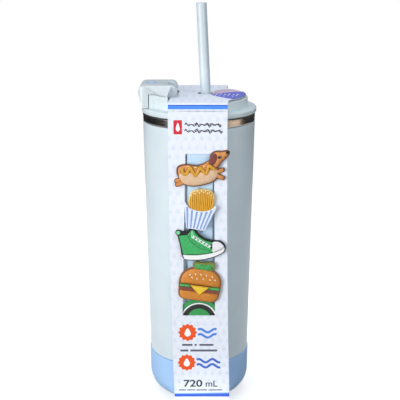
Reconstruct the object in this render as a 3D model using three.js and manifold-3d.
// Insulated flip-lid tumbler with a straw, a strip of push-in charms and a card sleeve.
// Millimetres, +Z up. The origin is the middle of the underside, on the surface the cup stands on.
// +X is the side away from the flip cap, and -Y is the side with the charms.
import * as THREE from "three";
import { mergeVertices } from "three/addons/utils/BufferGeometryUtils.js";
import { ConvexGeometry } from "three/addons/geometries/ConvexGeometry.js";
import Module from "manifold-3d";

const wasm = await Module();
wasm.setup();

// ---- Driving dimensions ------------------------------------------------------------------
const gap = 0.3; // clearance between pieces that touch on the real cup
const roundSteps = 48; // sides of a large turned piece
const smallSteps = 20; // sides of a small turned piece

// Cup
const coatRadius = 40; // outer radius where the coat ends, under the bare band
const coatTop = 209.2; // height of that edge
const taper = 0.019; // growth of the radius per millimetre of height
const bandHeight = 5.8; // bare steel from the coat's edge to the rim
const shellWall = 0.8;
const linerWall = 0.6;
const vacuumWidth = 2.2; // from the back of the shell to the back of the liner
const cavityFloor = 17; // inner floor of the liner
const cavityFillet = 9;
const bootTop = 34.5;
const bootWall = 1.5;
const bootProud = 0.6; // how far the boot stands out from the coated wall
const bootFillet = 16;
const plateRadius = 18.2; // welded plate under the vacuum
const plateDish = 1.5;
const getterRadius = 4;
const getterHeight = 1.5;

// Lid
const flangeOverhang = 1; // past the steel band
const flangeHeight = 3.8;
const flangeEdge = 0.8;
const deckInset = 6.3; // from the flange's edge in to the raised deck
const deckRise = 6.9; // the deck above the flange
const deckWall = 2.6;
const skirtWall = 2.8;
const seatRise = 2.8; // the raised seat of the flip cap above the deck
const plugDepth = 18;
const plugClearance = 1; // between the lid's plug and the liner
const plugWall = 2.2;
const neckWall = 1.1;
const neckHeight = 2.4;
const gasketRise = 7.6; // the gasket's middle above the plug's lower end
const gasketHeight = 3.2;
const gasketDepth = 1.7;
const gasketProud = 0.55; // the seal's lips past the plug, short of the liner

// Flip cap
const hingeInset = 15.3; // the hinge axis in from the deck's edge
const hingeRise = 2; // the hinge axis above the seat
const capCornerRadius = 4.4;
const capHalfWidth = 15.3;
const capWall = 2;
const capFlareFoot = 1; // thickness of the flare's foot
const flareSteps = 5;
const armThickness = 4.8;
const armClearance = 0.4; // above the flange
const knuckleInner = 7.6; // the cap's knuckles start here, each side of the lug
const knuckleDepth = 5; // from the hinge axis to the back of the knuckles
const capOverhang = 2.2; // the cap's upper end past its arm, which a thumb pushes up
const thumbSlantHigh = 6.5; // from the cap's top down to where the end slants in to the arm
const thumbSlantLow = 13;
const capPlanRadius = 3; // corners of the cap seen from above
const armSeatMargin = 0.8; // the lid's flat seat for the arm, past the cap's side
const lugHalfWidth = 7;
const lugRadius = 2.3;
const lugStem = 1.6; // half thickness of the stem under the lug's eye
const pinRadius = 1.2;
const pinEndWall = 1.4; // cap wall left at the pin's blind end
const spoutReach = 8.4; // from the hinge axis to the spout
const spoutWidth = 4.6;
const spoutLength = 10;
const sealClearance = 0.25;
const sealLength = 14;

// Straw
const strawX = 4.8; // where the straw's axis meets the sleeve's top
const strawY = 2.7;
const strawLean = 0.0487; // sideways run per unit of height, towards -X
const strawRadius = 3.65;
const strawBore = 2.7;
const strawShow = 64.6; // how far the straw stands above the deck
const strawFoot = 0.8; // clear of the cavity floor
const grommetWall = 2.75; // round the straw, with its clearance
const grommetBrim = 2.1; // past the neck, above the deck
const grommetBarb = 1.8; // past the neck, below the deck
const grommetFlangeHeight = 1.3;
const grommetLipHeight = 1.7;
const grommetProud = 0.3; // the flange's top above the deck
const grommetSeat = 1.2; // deck left under the grommet's recess

// Charm strap
const strapX = 0.8;
const strapWidth = 17.6;
const strapThickness = 1.4;
const strapStandoff = 0.25; // adhesive film between strap and cup
const strapDrop = 13.2; // the strap's top below the coat's edge
const strapHoleRadius = 3;
const strapPitch = 12.9;
const strapHoleDrop = 31; // the first hole below the coat's edge
const strapHoles = 10;
const strapMargin = 10; // below the last hole
const strapCorner = 3;

// Card sleeve
const cardThickness = 0.45;
const cardWidth = 40;
const cardRise = 1.3; // upper face of the top panel above the deck
const cardFrontStand = 1; // outer face of the front panel past the flange
const cardBackStand = 0.9;
const cardLowFold = 11.5;
const cardFootInset = 8.3; // from the cup's radius in to where the slanted panels reach the ground
const cardLip = 5; // depth of the fold-down lips of the top panel
const cardShiftFront = -0.8; // the sleeve sits a little askew: middle of the front panel at its top
const cardShiftBack = 1.9;
const cardShiftFoot = 2.2;
const windowDrop = 3; // the window's top below the strap's
const windowLastHole = 8; // the window ends at this hole of the strap
const windowSill = 0.4; // above the middle of that hole
const windowTopMargins = [1.2, 0.6]; // left and right of the strap
const windowBottomMargins = [3.7, 1.8];
const earInset = 1.7; // from the deck's edge
const earCentre = [0.3, -1.5];
const notchClearance = 0.6;
const strawHoleClearance = 1.95; // round the straw in the card

// Charms
const charmThickness = 3;
const discRadius = 15.7;
const discThickness = 2;
const discDrop = 3.2; // the round charm hangs this far below its hole
const discBoss = 0.4; // the round charm's stud between strap and charm
const studNeck = 2.4;
const studBoss = 3.4;
const studTip = 0.5; // how far the stud stays inside the strap's back

// ---- Levels and places that follow -------------------------------------------------------
const rimTop = coatTop + bandHeight;
const flangeBottom = rimTop + gap;
const flangeTop = flangeBottom + flangeHeight;
const flangeRadius = coatRadius + flangeOverhang;
const deckRadius = flangeRadius - deckInset;
const deckTop = flangeTop + deckRise;
const seatTop = deckTop + seatRise;
const seatEdgeX = cardShiftFront - cardWidth / 2 - 2 * gap;
const boreRadius = deckRadius - skirtWall;
const plugBottom = rimTop - plugDepth;
const gasketZ = plugBottom + gasketRise;

const hingeX = hingeInset - deckRadius;
const hingeZ = seatTop + hingeRise;
const capTop = hingeZ + capCornerRadius;
const capBottom = seatTop + gap;
const armInner = -(deckRadius + 2 * gap);
const armOuter = armInner - armThickness;
const capLeft = armOuter - capOverhang;
const capArmBottom = flangeTop + armClearance;
const pinHalfLength = capHalfWidth - pinEndWall;
const spoutX = hingeX - spoutReach;

const strawMarkZ = deckTop + 1;
const strawTop = deckTop + strawShow;
const strawAngle = Math.atan(strawLean);
const strawXAt = (z) => strawX - strawLean * (z - strawMarkZ);
const grommetNeck = strawRadius + grommetWall;
const grommetFlange = grommetNeck + grommetBrim;
const grommetLip = grommetNeck + grommetBarb;

const bodyRadius = (z) => coatRadius + taper * (z - coatTop);
const strapTop = coatTop - strapDrop;
const holeZ = (i) => coatTop - strapHoleDrop - i * strapPitch;
const strapBackY = (z) => -(bodyRadius(z) + strapStandoff);
const strapFrontY = (z) => strapBackY(z) - strapThickness;

const cardTopZ = deckTop + cardRise; // upper face of the top panel
const cardFrontY = -(flangeRadius + cardFrontStand);
const cardBackY = flangeRadius + cardBackStand;
const cardFootY = coatRadius - cardFootInset;
const windowTop = strapTop - windowDrop;
const windowBottom = holeZ(windowLastHole) + windowSill;
const earRadius = deckRadius - earInset;
const cardStrawHole = strawRadius + strawHoleClearance;

// The front panel slopes outwards just enough to lie over the round charm.
const discHoleZ = holeZ(windowLastHole);
const discTopZ = discHoleZ - discDrop + discRadius;
const discBackY = strapFrontY(discHoleZ) - 2 * gap - discBoss;
const cardStandAtDisc = -discBackY + discThickness + gap + cardThickness;
const cardSlope = (cardStandAtDisc + cardFrontY) / (cardTopZ - discTopZ);

// ---- Colours -----------------------------------------------------------------------------
const mint = { color: 0xdbe8eb, roughness: 0.5, metalness: 0 };
const paleBlue = { color: 0xbcd9f2, roughness: 0.6, metalness: 0 };
const steel = { color: 0xb8b4ad, roughness: 0.3, metalness: 1 };
const clearRubber = { color: 0xe6ecec, roughness: 0.55, metalness: 0 };
const card = { color: 0xeaf0f7, roughness: 0.7, metalness: 0 };
const buttonWhite = { color: 0xf0f0ec, roughness: 0.45, metalness: 0 };

// ---- Helpers -----------------------------------------------------------------------------
const group = new THREE.Group();

function place(name, geometry, finish, parent = group) {
  const mesh = new THREE.Mesh(geometry, new THREE.MeshStandardMaterial(finish));
  mesh.name = name;
  parent.add(mesh);
  return mesh;
}

// A closed geometry as a solid that can be joined and cut.
function solid(geometry) {
  const bare = geometry.clone();
  bare.deleteAttribute("normal");
  bare.deleteAttribute("uv");
  const merged = mergeVertices(bare, 1e-4);
  const vertProperties = new Float32Array(merged.attributes.position.array);
  const triVerts = new Uint32Array(merged.index.array);
  return new wasm.Manifold(new wasm.Mesh({ numProp: 3, vertProperties, triVerts }));
}

function shapeOf(body) {
  const made = body.getMesh();
  const geometry = new THREE.BufferGeometry();
  geometry.setAttribute("position", new THREE.BufferAttribute(made.vertProperties, 3));
  geometry.setIndex(new THREE.BufferAttribute(made.triVerts, 1));
  geometry.computeVertexNormals();
  return geometry;
}

function joined(...geometries) {
  return shapeOf(geometries.map(solid).reduce((a, b) => a.add(b)));
}

function cut(geometry, ...tools) {
  return shapeOf(tools.map(solid).reduce((a, b) => a.subtract(b), solid(geometry)));
}

// A profile of [radius, height] points, listed anticlockwise with the radius to the right,
// turned about Z. A hollow one closes on its first point.
function turned(points, steps = roundSteps) {
  const profile = points.map(([r, z]) => new THREE.Vector2(r, z));
  const lathe = new THREE.LatheGeometry(profile, steps);
  return lathe.rotateX(Math.PI / 2);
}

function ring(points, steps = roundSteps) {
  return turned([...points, points[0]], steps);
}

// Points on an arc from one angle to another, in degrees.
function arc(cx, cy, radius, from, to, steps) {
  const points = [];
  for (let i = 0; i <= steps; i++) {
    const angle = THREE.MathUtils.degToRad(from + ((to - from) * i) / steps);
    points.push([cx + radius * Math.cos(angle), cy + radius * Math.sin(angle)]);
  }
  return points;
}

function outline(points) {
  return new THREE.Shape(points.map(([x, y]) => new THREE.Vector2(x, y)));
}

// An upright prism: an outline in X and Y between two heights.
function uprightPrism(shape, low, high, curveSegments = 6) {
  const depth = high - low;
  const made = new THREE.ExtrudeGeometry(shape, { depth, bevelEnabled: false, curveSegments });
  return made.translate(0, 0, low);
}

// A prism whose outline is in X and Z, between two values of Y.
function frontPrism(shape, nearY, farY, curveSegments = 6) {
  const depth = farY - nearY;
  const made = new THREE.ExtrudeGeometry(shape, { depth, bevelEnabled: false, curveSegments });
  return made.rotateX(Math.PI / 2).translate(0, farY, 0);
}

// A prism whose outline is in Y and Z, centred on X = 0.
function sidePrism(shape, width) {
  const made = new THREE.ExtrudeGeometry(shape, { depth: width, bevelEnabled: false });
  const turn = new THREE.Matrix4().makeBasis(
    new THREE.Vector3(0, 1, 0),
    new THREE.Vector3(0, 0, 1),
    new THREE.Vector3(1, 0, 0),
  );
  return made.applyMatrix4(turn).translate(-width / 2, 0, 0);
}

function box(low, high) {
  const size = high.map((value, i) => value - low[i]);
  const middle = high.map((value, i) => (value + low[i]) / 2);
  return new THREE.BoxGeometry(...size).translate(...middle);
}

function roundedRectangle(x, y, width, height, radius) {
  const w = width / 2 - radius;
  const h = height / 2 - radius;
  const steps = 3;
  return outline([
    ...arc(x + w, y + h, radius, 0, 90, steps),
    ...arc(x - w, y + h, radius, 90, 180, steps),
    ...arc(x - w, y - h, radius, 180, 270, steps),
    ...arc(x + w, y - h, radius, 270, 360, steps),
  ]);
}

// A strip with round ends, from one point to another, whose radius may change on the way.
function capsule([x0, y0], [x1, y1], r0, r1 = r0, steps = 6) {
  const heading = THREE.MathUtils.radToDeg(Math.atan2(y1 - y0, x1 - x0));
  return outline([
    ...arc(x1, y1, r1, heading - 90, heading + 90, steps),
    ...arc(x0, y0, r0, heading + 90, heading + 270, steps),
  ]);
}

function common(a, b) {
  return shapeOf(solid(a).intersect(solid(b)));
}

function moveVertices(geometry, move) {
  const position = geometry.attributes.position;
  const point = new THREE.Vector3();
  for (let i = 0; i < position.count; i++) {
    point.fromBufferAttribute(position, i);
    move(point);
    position.setXYZ(i, point.x, point.y, point.z);
  }
  return geometry;
}

// ---- Cup ---------------------------------------------------------------------------------
const stackWidth = shellWall + vacuumWidth + linerWall;
const bootBottom = cardThickness + gap;
const filletCentreZ = bootBottom + bootFillet;
const filletCentreR = bodyRadius(filletCentreZ) + bootProud - bootFillet;

// A wall that follows the boot's rounded foot, set in by a given distance.
function footArc(inset, from, to) {
  return arc(filletCentreR, filletCentreZ, bootFillet - inset, from, to, 6);
}

function boot() {
  const topOuter = bodyRadius(bootTop) + bootProud;
  return turned([
    [0, bootBottom],
    ...footArc(0, -90, 0),
    [topOuter, bootTop - 0.5],
    [topOuter - 0.5, bootTop],
    [topOuter - bootWall, bootTop],
    ...footArc(bootWall, 0, -90),
    [0, bootBottom + bootWall],
  ]);
}

const shellInset = bootWall + gap;
const shellBottom = bootBottom + shellInset;

function shell() {
  const stepZ = bootTop + gap;
  const topZ = coatTop - gap;
  const lowRadius = bodyRadius(bootTop) + bootProud - shellInset;
  return ring([
    [plateRadius + gap, shellBottom],
    ...footArc(shellInset, -90, 0),
    [lowRadius, stepZ],
    [bodyRadius(stepZ), stepZ],
    [bodyRadius(topZ), topZ],
    [bodyRadius(topZ) - shellWall, topZ],
    [bodyRadius(stepZ) - shellWall, stepZ + shellWall],
    [lowRadius - shellWall, stepZ + shellWall],
    ...footArc(shellInset + shellWall, 0, -90),
    [plateRadius + gap, shellBottom + shellWall],
  ]);
}

function basePlate() {
  const dishRadius = plateRadius * 0.6;
  const dishZ = shellBottom + plateDish;
  return turned([
    [0, dishZ],
    [dishRadius, dishZ],
    [dishRadius + plateDish, shellBottom],
    [plateRadius, shellBottom],
    [plateRadius, shellBottom + shellWall],
    [dishRadius + plateDish, shellBottom + shellWall],
    [dishRadius, dishZ + shellWall],
    [0, dishZ + shellWall],
  ]);
}

function getter() {
  const low = shellBottom + plateDish + shellWall + gap;
  return turned(
    [
      [0, low],
      [getterRadius, low],
      [getterRadius, low + getterHeight],
      [0, low + getterHeight],
    ],
    smallSteps,
  );
}

// The liner with its rolled rim: floor, wall, then out over the top and down to the coat's edge.
function liner() {
  const inner = (z) => bodyRadius(z) - stackWidth;
  const outer = (z) => inner(z) + linerWall;
  const filletR = inner(cavityFloor + cavityFillet) - cavityFillet;
  const filletZ = cavityFloor + cavityFillet;
  const roofZ = rimTop - linerWall;
  const flareZ = rimTop - 1.6;
  return turned([
    [0, cavityFloor - linerWall],
    ...arc(filletR, filletZ, cavityFillet + linerWall, -90, 0, 5),
    [outer(roofZ - 2), roofZ - 2],
    [outer(roofZ) + 0.6, roofZ],
    [bodyRadius(roofZ) - shellWall, roofZ],
    [bodyRadius(coatTop) - shellWall, coatTop],
    [bodyRadius(coatTop), coatTop],
    [bodyRadius(rimTop), rimTop - 0.7],
    [bodyRadius(rimTop) - 0.6, rimTop],
    [inner(rimTop) + 1.3, rimTop],
    [inner(flareZ), flareZ],
    ...arc(filletR, filletZ, cavityFillet, 0, -90, 5),
    [0, cavityFloor],
  ]);
}

// ---- Lid ---------------------------------------------------------------------------------
function lidBlank() {
  return turned([
    [0, deckTop - deckWall],
    [boreRadius, deckTop - deckWall],
    [boreRadius, flangeBottom],
    [flangeRadius - flangeEdge, flangeBottom],
    [flangeRadius, flangeBottom + flangeEdge],
    [flangeRadius, flangeTop - flangeEdge],
    [flangeRadius - flangeEdge, flangeTop],
    [deckRadius, flangeTop],
    [deckRadius, deckTop - 0.8],
    [deckRadius - 0.8, deckTop],
    [0, deckTop],
  ]);
}

// The raised seat: the part of the deck's circle that lies beyond seatEdgeX.
function capSeat() {
  const angle = THREE.MathUtils.radToDeg(Math.acos(seatEdgeX / deckRadius));
  const edge = arc(0, 0, deckRadius, angle, 360 - angle, 14);
  return uprightPrism(outline(edge), deckTop - deckWall / 2, seatTop);
}

// The deck's wall is squared off beside the cap, so that the cap's flat arm lies against a flat face.
function armSeat() {
  const halfWidth = capHalfWidth + armSeatMargin;
  const block = box([-deckRadius, -halfWidth, flangeTop - 1], [seatEdgeX, halfWidth, seatTop]);
  const hollow = turned([
    [0, flangeTop - 2],
    [boreRadius, flangeTop - 2],
    [boreRadius, deckTop - deckWall],
    [0, deckTop - deckWall],
  ]);
  return cut(block, hollow);
}

function hingeLug() {
  const eye = arc(hingeX, hingeZ, lugRadius, -30, 210, 10);
  const foot = [
    [hingeX - lugStem, deckTop - deckWall / 2],
    [hingeX + lugStem, deckTop - deckWall / 2],
  ];
  return frontPrism(outline([...eye, ...foot]), -lugHalfWidth, lugHalfWidth);
}

function pinBore(nearY, farY) {
  const circle = outline(arc(hingeX, hingeZ, pinRadius + gap, 0, 337.5, 15));
  return frontPrism(circle, nearY, farY);
}

function spoutSlot() {
  const shape = roundedRectangle(spoutX, 0, spoutWidth, spoutLength, spoutWidth / 2 - 0.1);
  return uprightPrism(shape, deckTop - deckWall - 1, seatTop + 1);
}

function grommetSocket() {
  const recessZ = deckTop - deckWall + grommetSeat;
  const neck = turned(
    [
      [0, deckTop - deckWall - 1],
      [grommetNeck + gap, deckTop - deckWall - 1],
      [grommetNeck + gap, recessZ],
      [grommetFlange + gap, recessZ],
      [grommetFlange + gap, deckTop + 1],
      [0, deckTop + 1],
    ],
    smallSteps,
  );
  return neck.translate(strawXAt(deckTop), strawY, 0);
}

function lidShell() {
  const blank = joined(lidBlank(), capSeat(), armSeat());
  const sweep = knuckleDepth + 0.4;
  const trough = box(
    [hingeX - sweep, -capHalfWidth - gap, deckTop],
    [hingeX + sweep, capHalfWidth + gap, seatTop + 1],
  );
  const seated = cut(blank, trough, spoutSlot(), grommetSocket());
  return cut(joined(seated, hingeLug()), pinBore(-capHalfWidth, capHalfWidth));
}

// The plug that hangs inside the mouth of the cup, with a neck that is welded into the lid's bore.
const plugRadius = bodyRadius(plugBottom) - stackWidth - plugClearance;
const grooveRadius = plugRadius - gasketDepth;

function lidPlug() {
  const top = rimTop - 0.8;
  const neckRadius = boreRadius - gap;
  const grooveLow = gasketZ - gasketHeight / 2 - gap;
  const grooveHigh = gasketZ + gasketHeight / 2 + gap;
  const innerRadius = grooveRadius - plugWall / 2;
  return ring([
    [innerRadius, plugBottom],
    [plugRadius, plugBottom],
    [plugRadius, grooveLow],
    [grooveRadius, grooveLow],
    [grooveRadius, grooveHigh],
    [plugRadius, grooveHigh],
    [plugRadius, top],
    [neckRadius, top],
    [neckRadius, top + neckHeight],
    [neckRadius - neckWall, top + neckHeight],
    [neckRadius - neckWall, top - plugWall],
    [innerRadius, top - plugWall],
  ]);
}

function lidGasket() {
  const low = gasketZ - gasketHeight / 2;
  const high = gasketZ + gasketHeight / 2;
  const lip = plugRadius + gasketProud;
  return ring([
    [grooveRadius + gap, low],
    [plugRadius, low],
    [lip, low + 0.5],
    [plugRadius, gasketZ],
    [lip, high - 0.5],
    [plugRadius, high],
    [grooveRadius + gap, high],
  ]);
}

// ---- Flip cap ----------------------------------------------------------------------------
// Outline seen from the front: round knuckle at the hinge, flat top, round outer corner, the slant
// under the thumb and the arm.
function capProfile() {
  const dip = THREE.MathUtils.radToDeg(Math.asin((hingeZ - capBottom) / capCornerRadius));
  return outline([
    ...arc(hingeX, hingeZ, capCornerRadius, dip - 180, 90, 15),
    ...arc(capLeft + capCornerRadius, hingeZ, capCornerRadius, 90, 180, 5),
    [capLeft, capTop - thumbSlantHigh],
    [armOuter, capTop - thumbSlantLow],
    [armOuter, capArmBottom],
    [armInner, capArmBottom],
    [armInner, capBottom],
  ]);
}

function capBlock() {
  const right = hingeX + capCornerRadius;
  const width = right - capLeft;
  const plan = roundedRectangle((right + capLeft) / 2, 0, width, 2 * capHalfWidth, capPlanRadius);
  const upright = uprightPrism(plan, capArmBottom - 1, capTop + 1);
  return common(frontPrism(capProfile(), -capHalfWidth, capHalfWidth), upright);
}

// The sides flare from the straight top edge out to the deck's round edge.
function capFlare(side) {
  const points = [];
  const farX = 3.5 - deckRadius;
  for (let i = 0; i < flareSteps; i++) {
    const x = THREE.MathUtils.lerp(farX, seatEdgeX - gap, i / (flareSteps - 1));
    const y = side * Math.sqrt((deckRadius - gap) ** 2 - x ** 2);
    points.push(new THREE.Vector3(x, y, capBottom));
    points.push(new THREE.Vector3(x, y, capBottom + capFlareFoot));
    points.push(new THREE.Vector3(x, side * (capHalfWidth - capWall), capBottom));
  }
  for (const x of [capLeft + capCornerRadius, hingeX]) {
    points.push(new THREE.Vector3(x, side * capHalfWidth, capTop - 0.4));
    points.push(new THREE.Vector3(x, side * (capHalfWidth - capWall), capTop - 0.4));
  }
  return new ConvexGeometry(points);
}

function flipCap() {
  const outside = joined(capBlock(), capFlare(-1), capFlare(1));
  const sideInner = capHalfWidth - capWall;
  const hollow = box(
    [armInner + capWall, -sideInner, capBottom - 1],
    [hingeX - knuckleDepth, sideInner, capTop - capWall],
  );
  const lugSlot = box(
    [hingeX - lugRadius - 2 * gap, -knuckleInner, hingeZ - capCornerRadius - 1],
    [hingeX + capCornerRadius + 1, knuckleInner, capTop + 1],
  );
  return cut(outside, hollow, lugSlot, pinBore(-pinHalfLength - gap, capHalfWidth + 1));
}

function capSeal() {
  const hollowLeft = armInner + capWall;
  const hollowRight = hingeX - knuckleDepth;
  const width = hollowRight - hollowLeft - 2 * sealClearance;
  const shape = roundedRectangle((hollowLeft + hollowRight) / 2, 0, width, sealLength, 2);
  return uprightPrism(shape, seatTop + 2 * gap, capTop - capWall - gap);
}

function hingePin() {
  const circle = outline(arc(hingeX, hingeZ, pinRadius, 0, 330, 11));
  return frontPrism(circle, -pinHalfLength, pinHalfLength);
}

// ---- Straw and its grommet ---------------------------------------------------------------
function straw(mesh) {
  const low = cavityFloor + strawFoot;
  const length = (strawTop - low) / Math.cos(strawAngle);
  mesh.geometry = ring(
    [
      [strawBore, 0],
      [strawRadius, 0],
      [strawRadius, length],
      [strawBore, length],
    ],
    smallSteps,
  );
  mesh.position.set(strawXAt(low), strawY, low);
  mesh.rotation.y = -strawAngle;
}

function grommet() {
  const high = deckTop + grommetProud;
  const flangeLow = high - grommetFlangeHeight;
  const lipHigh = deckTop - deckWall - gap;
  const lipLow = lipHigh - grommetLipHeight;
  const middle = (high + lipLow) / 2;
  const body = turned(
    [
      [0, lipLow],
      [grommetLip - 0.8, lipLow],
      [grommetLip, lipHigh],
      [grommetNeck, lipHigh],
      [grommetNeck, flangeLow],
      [grommetFlange, flangeLow],
      [grommetFlange, high - 0.5],
      [grommetFlange - 0.5, high],
      [0, high],
    ],
    smallSteps,
  ).translate(strawXAt(deckTop), strawY, 0);
  const reach = high - lipLow;
  const bore = turned(
    [
      [0, -reach],
      [strawRadius + gap, -reach],
      [strawRadius + gap, reach],
      [0, reach],
    ],
    smallSteps,
  );
  bore.rotateY(-strawAngle).translate(strawXAt(middle), strawY, middle);
  return cut(body, bore);
}

// ---- Charm strap -------------------------------------------------------------------------
function strap() {
  const low = holeZ(strapHoles - 1) - strapMargin;
  const height = strapTop - low;
  const shape = roundedRectangle(strapX, (strapTop + low) / 2, strapWidth, height, strapCorner);
  for (let i = 0; i < strapHoles; i++) {
    const rim = arc(strapX, holeZ(i), strapHoleRadius, 0, 330, 11);
    shape.holes.push(new THREE.Path(rim.map(([x, y]) => new THREE.Vector2(x, y))));
  }
  const flat = frontPrism(shape, -strapThickness, 0);
  return moveVertices(flat, (point) => {
    point.y += strapBackY(point.z);
  });
}

// ---- Card sleeve -------------------------------------------------------------------------
const wrapTop = cardTopZ - cardLip - gap;

function cardShift(y, z) {
  const t = THREE.MathUtils.clamp((cardTopZ - z) / (cardTopZ - cardLowFold), 0, 1);
  const start = y < 0 ? cardShiftFront : cardShiftBack;
  return start + (cardShiftFoot - start) * t;
}

const cardOuterY = (z) => cardFrontY - cardSlope * (cardTopZ - z);
const cardRearY = (z) => cardBackY + (cardFrontY - cardOuterY(z));

// Front panel, slanted foot, ground panel, slanted foot and back panel, folded from one strip.
function cardWrap() {
  const t = cardThickness;
  const outer = [
    [cardOuterY(wrapTop), wrapTop],
    [cardOuterY(cardLowFold), cardLowFold],
    [-cardFootY, 0],
    [cardFootY, 0],
    [cardRearY(cardLowFold), cardLowFold],
    [cardRearY(wrapTop), wrapTop],
  ];
  const inner = [
    [cardRearY(wrapTop) - t, wrapTop],
    [cardRearY(cardLowFold) - t, cardLowFold + t / 2],
    [cardFootY - t / 2, t],
    [-cardFootY + t / 2, t],
    [cardOuterY(cardLowFold) + t, cardLowFold + t / 2],
    [cardOuterY(wrapTop) + t, wrapTop],
  ];
  const strip = moveVertices(sidePrism(outline([...outer, ...inner]), cardWidth), (point) => {
    point.x += cardShift(point.y, point.z);
  });
  const strapLeft = strapX - strapWidth / 2;
  const strapRight = strapX + strapWidth / 2;
  const opening = outline([
    [strapLeft - windowBottomMargins[0], windowBottom],
    [strapRight + windowBottomMargins[1], windowBottom],
    [strapRight + windowTopMargins[1], windowTop],
    [strapLeft - windowTopMargins[0], windowTop],
  ]);
  return cut(strip, frontPrism(opening, cardOuterY(0) - 5, cardFrontY + 5));
}

// Top panel with its two fold-down lips and the round ear beyond one edge.
function cardTop() {
  const t = cardThickness;
  const lipZ = cardTopZ - cardLip;
  const section = outline([
    [cardFrontY, cardTopZ],
    [cardFrontY, lipZ],
    [cardFrontY + t, lipZ],
    [cardFrontY + t, cardTopZ - t],
    [cardBackY - t, cardTopZ - t],
    [cardBackY - t, lipZ],
    [cardBackY, lipZ],
    [cardBackY, cardTopZ],
  ]);
  const depth = cardBackY - cardFrontY;
  const panel = moveVertices(sidePrism(section, cardWidth), (point) => {
    const along = (point.y - cardFrontY) / depth;
    point.x += THREE.MathUtils.lerp(cardShiftFront, cardShiftBack, along);
  });
  const ear = uprightPrism(
    outline(arc(...earCentre, earRadius, -65, 65, 22)),
    cardTopZ - t,
    cardTopZ,
  );
  const notchY = capHalfWidth + notchClearance;
  const notch = box(
    [-cardWidth, -notchY, wrapTop],
    [hingeX + capCornerRadius + notchClearance, notchY, cardTopZ + 1],
  );
  const hole = turned(
    [
      [0, lipZ],
      [cardStrawHole, lipZ],
      [cardStrawHole, cardTopZ + 1],
      [0, cardTopZ + 1],
    ],
    smallSteps,
  ).translate(strawXAt(cardTopZ), strawY, 0);
  return cut(joined(panel, ear), notch, hole);
}

// ---- Charms ------------------------------------------------------------------------------
// Outlines are in millimetres about the charm's own hole: X to the right, Z up.
function union(parts, thickness) {
  return joined(...parts.map((shape) => frontPrism(shape, -thickness, 0)));
}

function hotDogCharm() {
  return union(
    [
      capsule([-7.3, -0.2], [6.2, 1.6], 7),
      capsule([8.4, 5], [11, 12.6], 3.3, 4),
      capsule([11.4, 13], [19, 15.7], 4.2, 1.6),
      capsule([11.5, 3], [15.9, 3.9], 1.7),
      capsule([11, 0.4], [15.9, -1.8], 1.7),
      capsule([-12, -2.6], [-15.4, -4], 1.7),
      capsule([-11.4, -4.8], [-14.6, -6.1], 1.7),
    ],
    charmThickness,
  );
}

function friesCharm() {
  const carton = outline([
    [-9.2, 7.2],
    [-8.2, -10.8],
    [4.4, -13.4],
    [12.3, 4.6],
    [6, 3],
    [-5, 4],
  ]);
  return union([carton, capsule([-1.2, 8], [5, 7.4], 6.4, 6.6)], charmThickness);
}

function sneakerCharm() {
  const upper = outline([
    [-14.6, 10.4],
    [-11.4, -6],
    [17, -3],
    ...arc(14.4, 0.9, 3.7, -20, 90, 4),
    [9.5, 5],
    [4, 6.8],
    [-0.4, 10],
    [-3.4, 13.4],
    [-5.4, 13.4],
    [-7.8, 11.2],
  ]);
  const sole = outline([
    [-11.5, -4],
    [-9.6, -8.2],
    [0, -8.8],
    [8, -7.2],
    [17.6, -2.9],
    [17.6, -1],
  ]);
  return union([upper, sole, capsule([-14.4, 11.3], [-13.4, 11], 1.9)], charmThickness);
}

function burgerCharm() {
  const dome = arc(0, -1, 14.6, 0, 180, 12).map(([x, y]) => [x, -1 + (y + 1) * 0.86]);
  const stack = outline([...dome, ...arc(-9, -7.4, 5, 195, 270, 3), ...arc(9, -7.4, 5, 270, 345, 3)]);
  const tilted = frontPrism(stack, -charmThickness, 0);
  tilted.rotateY(THREE.MathUtils.degToRad(8)).translate(1, 0, -1);
  const pickle = frontPrism(capsule([-1.2, 12.5], [8.4, 11.9], 3), -charmThickness, 0);
  return joined(tilted, pickle);
}

function roundCharm() {
  const circle = outline(arc(0, -discDrop, discRadius, 0, 348, 29));
  return frontPrism(circle, -discThickness, 0);
}

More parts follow.
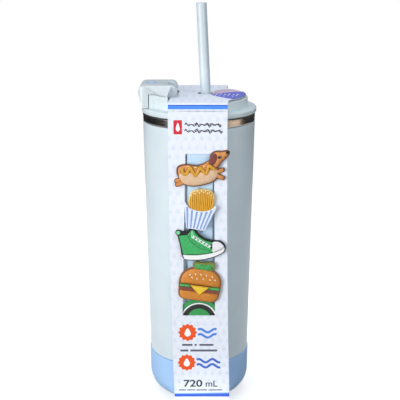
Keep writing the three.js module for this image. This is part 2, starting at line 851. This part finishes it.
// A stud turned about Y: a neck that fills the strap's hole and a boss that meets the charm.
function stud(z, charmBackY) {
  const neckLength = strapThickness + gap - studTip;
  const bossLength = strapFrontY(z) - charmBackY - 2 * gap;
  const body = turned(
    [
      [0, 0],
      [studBoss, 0],
      [studBoss, bossLength],
      [studNeck, bossLength],
      [studNeck, bossLength + neckLength - 0.3],
      [studNeck - 0.5, bossLength + neckLength],
      [0, bossLength + neckLength],
    ],
    12,
  );
  return body.rotateX(-Math.PI / 2).translate(strapX, charmBackY + gap, z);
}

const charms = [
  { name: "hot_dog", hole: 0, make: hotDogCharm, color: 0xe3b58c, low: 9 },
  { name: "fries", hole: 2, make: friesCharm, color: 0xe0a02a, low: 14 },
  { name: "sneaker", hole: 4, make: sneakerCharm, color: 0x3da45f, low: 9 },
  { name: "burger", hole: 6, make: burgerCharm, color: 0xc9812f, low: 15 },
];

// ---- Assembly ----------------------------------------------------------------------------
place("outer_shell", shell(), mint);
place("inner_liner", liner(), steel);
place("base_plate", basePlate(), steel);
place("getter_pellet", getter(), { color: 0x6b6b70, roughness: 0.8, metalness: 0.4 });
place("silicone_boot", boot(), paleBlue);
place("charm_strap", strap(), paleBlue);

place("lid_shell", lidShell(), mint);
place("lid_plug", lidPlug(), mint);
place("lid_gasket", lidGasket(), clearRubber);
place("flip_cap", flipCap(), mint);
place("flip_cap_seal", capSeal(), clearRubber);
place("hinge_pin", hingePin(), steel);
place("straw_grommet", grommet(), clearRubber);
straw(place("straw", new THREE.BufferGeometry(), { ...mint, roughness: 0.35 }));

place("card_wrap", cardWrap(), card);
place("card_top", cardTop(), card);

for (const { name, hole, make, color, low } of charms) {
  const z = holeZ(hole);
  const backY = cardOuterY(z - low) - gap;
  const finish = { color, roughness: 0.5, metalness: 0 };
  place("charm_" + name, make(), finish).position.set(0, backY, z);
  place("stud_" + name, stud(z, backY), buttonWhite);
}
const discFinish = { color: 0x3aa158, roughness: 0.5, metalness: 0 };
place("charm_round", roundCharm(), discFinish).position.set(0, discBackY, discHoleZ);
place("stud_round", stud(discHoleZ, discBackY), buttonWhite);

export default group;
